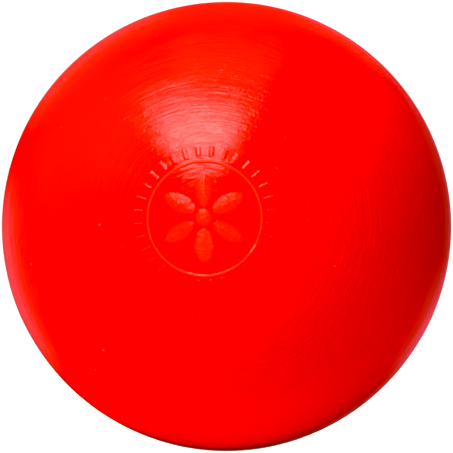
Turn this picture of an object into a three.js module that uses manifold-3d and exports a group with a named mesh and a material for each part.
// A massage ball of the covered kind: a cork and rubber core, a rubber cushion moulded as two cups, and a hard
// PVC cover moulded as two half shells that are welded together round the equator.
// Millimetres, +Z up. The origin is the ball's centre. The emblem's pole points along -Y, the seam of the cover
// lies in the plane Y = 0, and the seam of the cushion lies in the plane Z = 0, so that no two joints line up.
import * as THREE from "three";
import { mergeVertices } from "three/addons/utils/BufferGeometryUtils.js";
import Module from "manifold-3d";

// Driving dimensions.
const BALL_R = 32.5;
const COVER_WALL = 4;
const CUSHION_WALL = 5.7;
const GAP = 0.3; // clearance between neighbouring pieces

// The joint between the covers: a spigot in a rebate, and a V groove outside that holds the weld.
const SPIGOT_WALL = 1.8;
const SPIGOT_LENGTH = 2;
const WELD_GROOVE_HALF = 0.9;

// The stepped joint between the cushion cups.
const STEP_WALL = 2.7;
const STEP_HEIGHT = 1.5;

// The emblem: a ring line, a rosette inside it and a border of plain bars outside it.
const RING_R = 7.6;
const RING_WIDTH = 0.3;
const RELIEF = 0.16;
const PETALS = 6;
const PETAL_AT = 3.7;
const PETAL_SIZE = { along: 2.3, across: 1.35, proud: 0.28 };
const HUB = { radius: 1.15, proud: 0.3 };
const BARS = 32;
const BAR_AT = 8.95;
const BAR_SIZE = { along: 1.4, across: 0.5 };
const SUNK = 1; // how far the relief pieces reach into the wall, so that they fuse with it

// The moulding marks of the rear cover and the core.
const GATE_R = 1.6;
const GATE_DEPTH = 0.25;
const LAND_HALF = 0.6;
const LAND_PROUD = 0.2;

// How finely the round shapes are stepped.
const COVER_SEGMENTS = 60;
const INNER_SEGMENTS = 36;
const DOME_STEPS = 12;
const HOLLOW_STEPS = 8;

const COVER_INNER_R = BALL_R - COVER_WALL;
const CUSHION_R = COVER_INNER_R - GAP;
const CUSHION_INNER_R = CUSHION_R - CUSHION_WALL;
const CORE_R = CUSHION_INNER_R - GAP;

const wasm = await Module();
wasm.setup();

const looks = {
  cover: { color: 0xf00a05, roughness: 0.34, metalness: 0 },
  weld: { color: 0xd80b06, roughness: 0.45, metalness: 0 },
  cushion: { color: 0x1d1c1e, roughness: 0.8, metalness: 0 },
  core: { color: 0x9a6a3c, roughness: 0.9, metalness: 0 },
};

function piece(name, geometry, look) {
  const mesh = new THREE.Mesh(geometry, new THREE.MeshStandardMaterial(looks[look]));
  mesh.name = name;
  return mesh;
}

// The point of a profile on a sphere of this radius, at this height along the axis.
function onSphere(radius, y) {
  return new THREE.Vector2(Math.sqrt(radius * radius - y * y), y);
}

// The point of a profile on a sphere of this radius, at an angle measured at the centre from the -Y pole.
function onDome(radius, angle) {
  const x = Math.abs(Math.sin(angle)) < 1e-12 ? 0 : radius * Math.sin(angle);
  return new THREE.Vector2(x, -radius * Math.cos(angle));
}

// Points along a sphere's profile from angle a to angle b.
function arc(radius, a, b, steps) {
  const points = [];
  for (let i = 0; i <= steps; i++) {
    points.push(onDome(radius, a + ((b - a) * i) / steps));
  }
  return points;
}

// The angle from the -Y pole at which a sphere of this radius is this high along the axis.
function angleAt(radius, y) {
  return Math.acos(-y / radius);
}

// A closed profile turned about Y. Profiles run from the outer pole round to the inner pole, so faces point out.
function turned(profile, segments) {
  const geometry = new THREE.LatheGeometry(profile, segments);
  geometry.deleteAttribute("normal");
  geometry.deleteAttribute("uv");
  return mergeVertices(geometry, 1e-4);
}

function solid(geometry) {
  const bare = geometry.clone();
  bare.deleteAttribute("normal");
  bare.deleteAttribute("uv");
  const merged = mergeVertices(bare, 1e-4);
  return new wasm.Manifold(
    new wasm.Mesh({
      numProp: 3,
      vertProperties: merged.getAttribute("position").array,
      triVerts: new Uint32Array(merged.index.array),
    }),
  );
}

function geometryOf(manifold) {
  const mesh = manifold.getMesh();
  const geometry = new THREE.BufferGeometry();
  geometry.setAttribute("position", new THREE.BufferAttribute(mesh.vertProperties, mesh.numProp));
  geometry.setIndex(new THREE.BufferAttribute(mesh.triVerts, 1));
  geometry.computeVertexNormals();
  return geometry;
}

// Moves a piece modelled about the origin, with +Y standing for "along the radius out of the ball",
// to the place on the front of the ball that is `offset` from the pole, at `turn` round it.
function onFront(geometry, offset, turn) {
  const lean = Math.asin(offset / BALL_R);
  const placed = geometry.clone();
  placed.translate(0, BALL_R, 0);
  placed.rotateX(lean);
  placed.rotateX(Math.PI);
  placed.rotateY(turn);
  return placed;
}

// The ring line, as a low step in the front cover's outer profile.
function ringPoints() {
  const rise = BALL_R + RELIEF;
  const inside = Math.asin((RING_R - RING_WIDTH / 2) / BALL_R);
  const outside = Math.asin((RING_R + RING_WIDTH / 2) / BALL_R);
  const lean = RELIEF / 2 / BALL_R;
  return [
    onDome(BALL_R, inside - lean),
    onDome(rise, inside + lean),
    onDome(rise, outside - lean),
    onDome(BALL_R, outside + lean),
  ];
}

function frontCoverProfile() {
  const ring = ringPoints();
  const ringIn = angleAt(BALL_R, ring[0].y);
  const ringOut = angleAt(BALL_R, ring[3].y);
  const rimY = -GAP / 2;
  const grooveY = rimY - WELD_GROOVE_HALF;
  const spigotR = COVER_INNER_R + SPIGOT_WALL;
  return [
    ...arc(BALL_R, 0, ringIn, 2).slice(0, -1),
    ...ring,
    ...arc(BALL_R, ringOut, angleAt(BALL_R, grooveY), DOME_STEPS).slice(1),
    new THREE.Vector2(BALL_R - WELD_GROOVE_HALF, rimY),
    new THREE.Vector2(spigotR, rimY),
    new THREE.Vector2(spigotR, SPIGOT_LENGTH),
    new THREE.Vector2(COVER_INNER_R, SPIGOT_LENGTH),
    ...arc(COVER_INNER_R, Math.PI / 2, 0, HOLLOW_STEPS),
  ];
}

// One bar of the border, and one petal and the hub of the rosette, as low studs.
function barStud() {
  const depth = SUNK + RELIEF;
  return new THREE.BoxGeometry(BAR_SIZE.across, depth, BAR_SIZE.along).translate(0, RELIEF - depth / 2, 0);
}

function petalStud() {
  const stud = new THREE.SphereGeometry(1, 12, 6);
  return stud.scale(PETAL_SIZE.across, PETAL_SIZE.proud, PETAL_SIZE.along);
}

function hubStud() {
  return new THREE.SphereGeometry(1, 12, 6).scale(HUB.radius, HUB.proud, HUB.radius);
}

function frontCover() {
  let cover = solid(turned(frontCoverProfile(), COVER_SEGMENTS));
  for (let i = 0; i < BARS; i++) {
    cover = cover.add(solid(onFront(barStud(), BAR_AT, (2 * Math.PI * (i + 0.5)) / BARS)));
  }
  for (let i = 0; i < PETALS; i++) {
    cover = cover.add(solid(onFront(petalStud(), PETAL_AT, (2 * Math.PI * i) / PETALS)));
  }
  cover = cover.add(solid(onFront(hubStud(), 0, 0)));
  return piece("front_cover", geometryOf(cover), "cover");
}

// The rear cover is modelled like the front one, opening towards +Y, and then turned to face it.
function rearCoverProfile() {
  const rimY = -GAP / 2;
  const grooveY = rimY - WELD_GROOVE_HALF;
  const rebateR = COVER_INNER_R + SPIGOT_WALL + GAP;
  const rebateY = -(SPIGOT_LENGTH + GAP);
  const gateFloor = -BALL_R + GATE_DEPTH;
  return [
    new THREE.Vector2(0, gateFloor),
    new THREE.Vector2(GATE_R - GATE_DEPTH, gateFloor),
    ...arc(BALL_R, Math.asin(GATE_R / BALL_R), angleAt(BALL_R, grooveY), DOME_STEPS),
    new THREE.Vector2(BALL_R - WELD_GROOVE_HALF, rimY),
    new THREE.Vector2(rebateR, rimY),
    new THREE.Vector2(rebateR, rebateY),
    ...arc(COVER_INNER_R, angleAt(COVER_INNER_R, rebateY), 0, HOLLOW_STEPS),
  ];
}

function rearCover() {
  const cover = turned(rearCoverProfile(), COVER_SEGMENTS).rotateX(Math.PI);
  return piece("rear_cover", cover, "cover");
}

// The weld is a ring of triangular section that sits in the V groove, flush with the ball.
function seamWeld() {
  const half = WELD_GROOVE_HALF + GAP / 2 - GAP * Math.SQRT2;
  const profile = [
    onSphere(BALL_R, -half),
    onSphere(BALL_R, 0),
    onSphere(BALL_R, half),
    new THREE.Vector2(BALL_R - half, 0),
    onSphere(BALL_R, -half),
  ];
  return piece("seam_weld", turned(profile, COVER_SEGMENTS), "weld");
}

// The lower cup's rim carries a step that stands up inside the upper cup's rim.
function lowerCushion() {
  const rimY = -GAP / 2;
  const stepR = CUSHION_INNER_R + STEP_WALL;
  const profile = [
    ...arc(CUSHION_R, 0, angleAt(CUSHION_R, rimY), HOLLOW_STEPS),
    new THREE.Vector2(stepR, rimY),
    new THREE.Vector2(stepR, STEP_HEIGHT),
    new THREE.Vector2(CUSHION_INNER_R, STEP_HEIGHT),
    ...arc(CUSHION_INNER_R, Math.PI / 2, 0, HOLLOW_STEPS),
  ];
  return piece("lower_cushion", turned(profile, INNER_SEGMENTS).rotateX(Math.PI / 2), "cushion");
}

function upperCushion() {
  const rimY = -GAP / 2;
  const stepR = CUSHION_INNER_R + STEP_WALL + GAP;
  const stepY = -(STEP_HEIGHT + GAP);
  const profile = [
    ...arc(CUSHION_R, 0, angleAt(CUSHION_R, rimY), HOLLOW_STEPS),
    new THREE.Vector2(stepR, rimY),
    new THREE.Vector2(stepR, stepY),
    ...arc(CUSHION_INNER_R, angleAt(CUSHION_INNER_R, stepY), 0, HOLLOW_STEPS),
  ];
  return piece("upper_cushion", turned(profile, INNER_SEGMENTS).rotateX(-Math.PI / 2), "cushion");
}

// The core is a ball with a narrow land round its middle, left by the mould that pressed it.
function corkCore() {
  const landStart = angleAt(CORE_R - LAND_PROUD, -LAND_HALF);
  const profile = [
    ...arc(CORE_R - LAND_PROUD, 0, landStart, HOLLOW_STEPS),
    onSphere(CORE_R, -LAND_HALF),
    onSphere(CORE_R, LAND_HALF),
    ...arc(CORE_R - LAND_PROUD, Math.PI - landStart, Math.PI, HOLLOW_STEPS),
  ];
  return piece("cork_core", turned(profile, INNER_SEGMENTS).rotateX(Math.PI / 2), "core");
}

const ball = new THREE.Group();
ball.name = "massage_ball";
ball.add(frontCover(), rearCover(), seamWeld(), upperCushion(), lowerCushion(), corkCore());

export default ball;
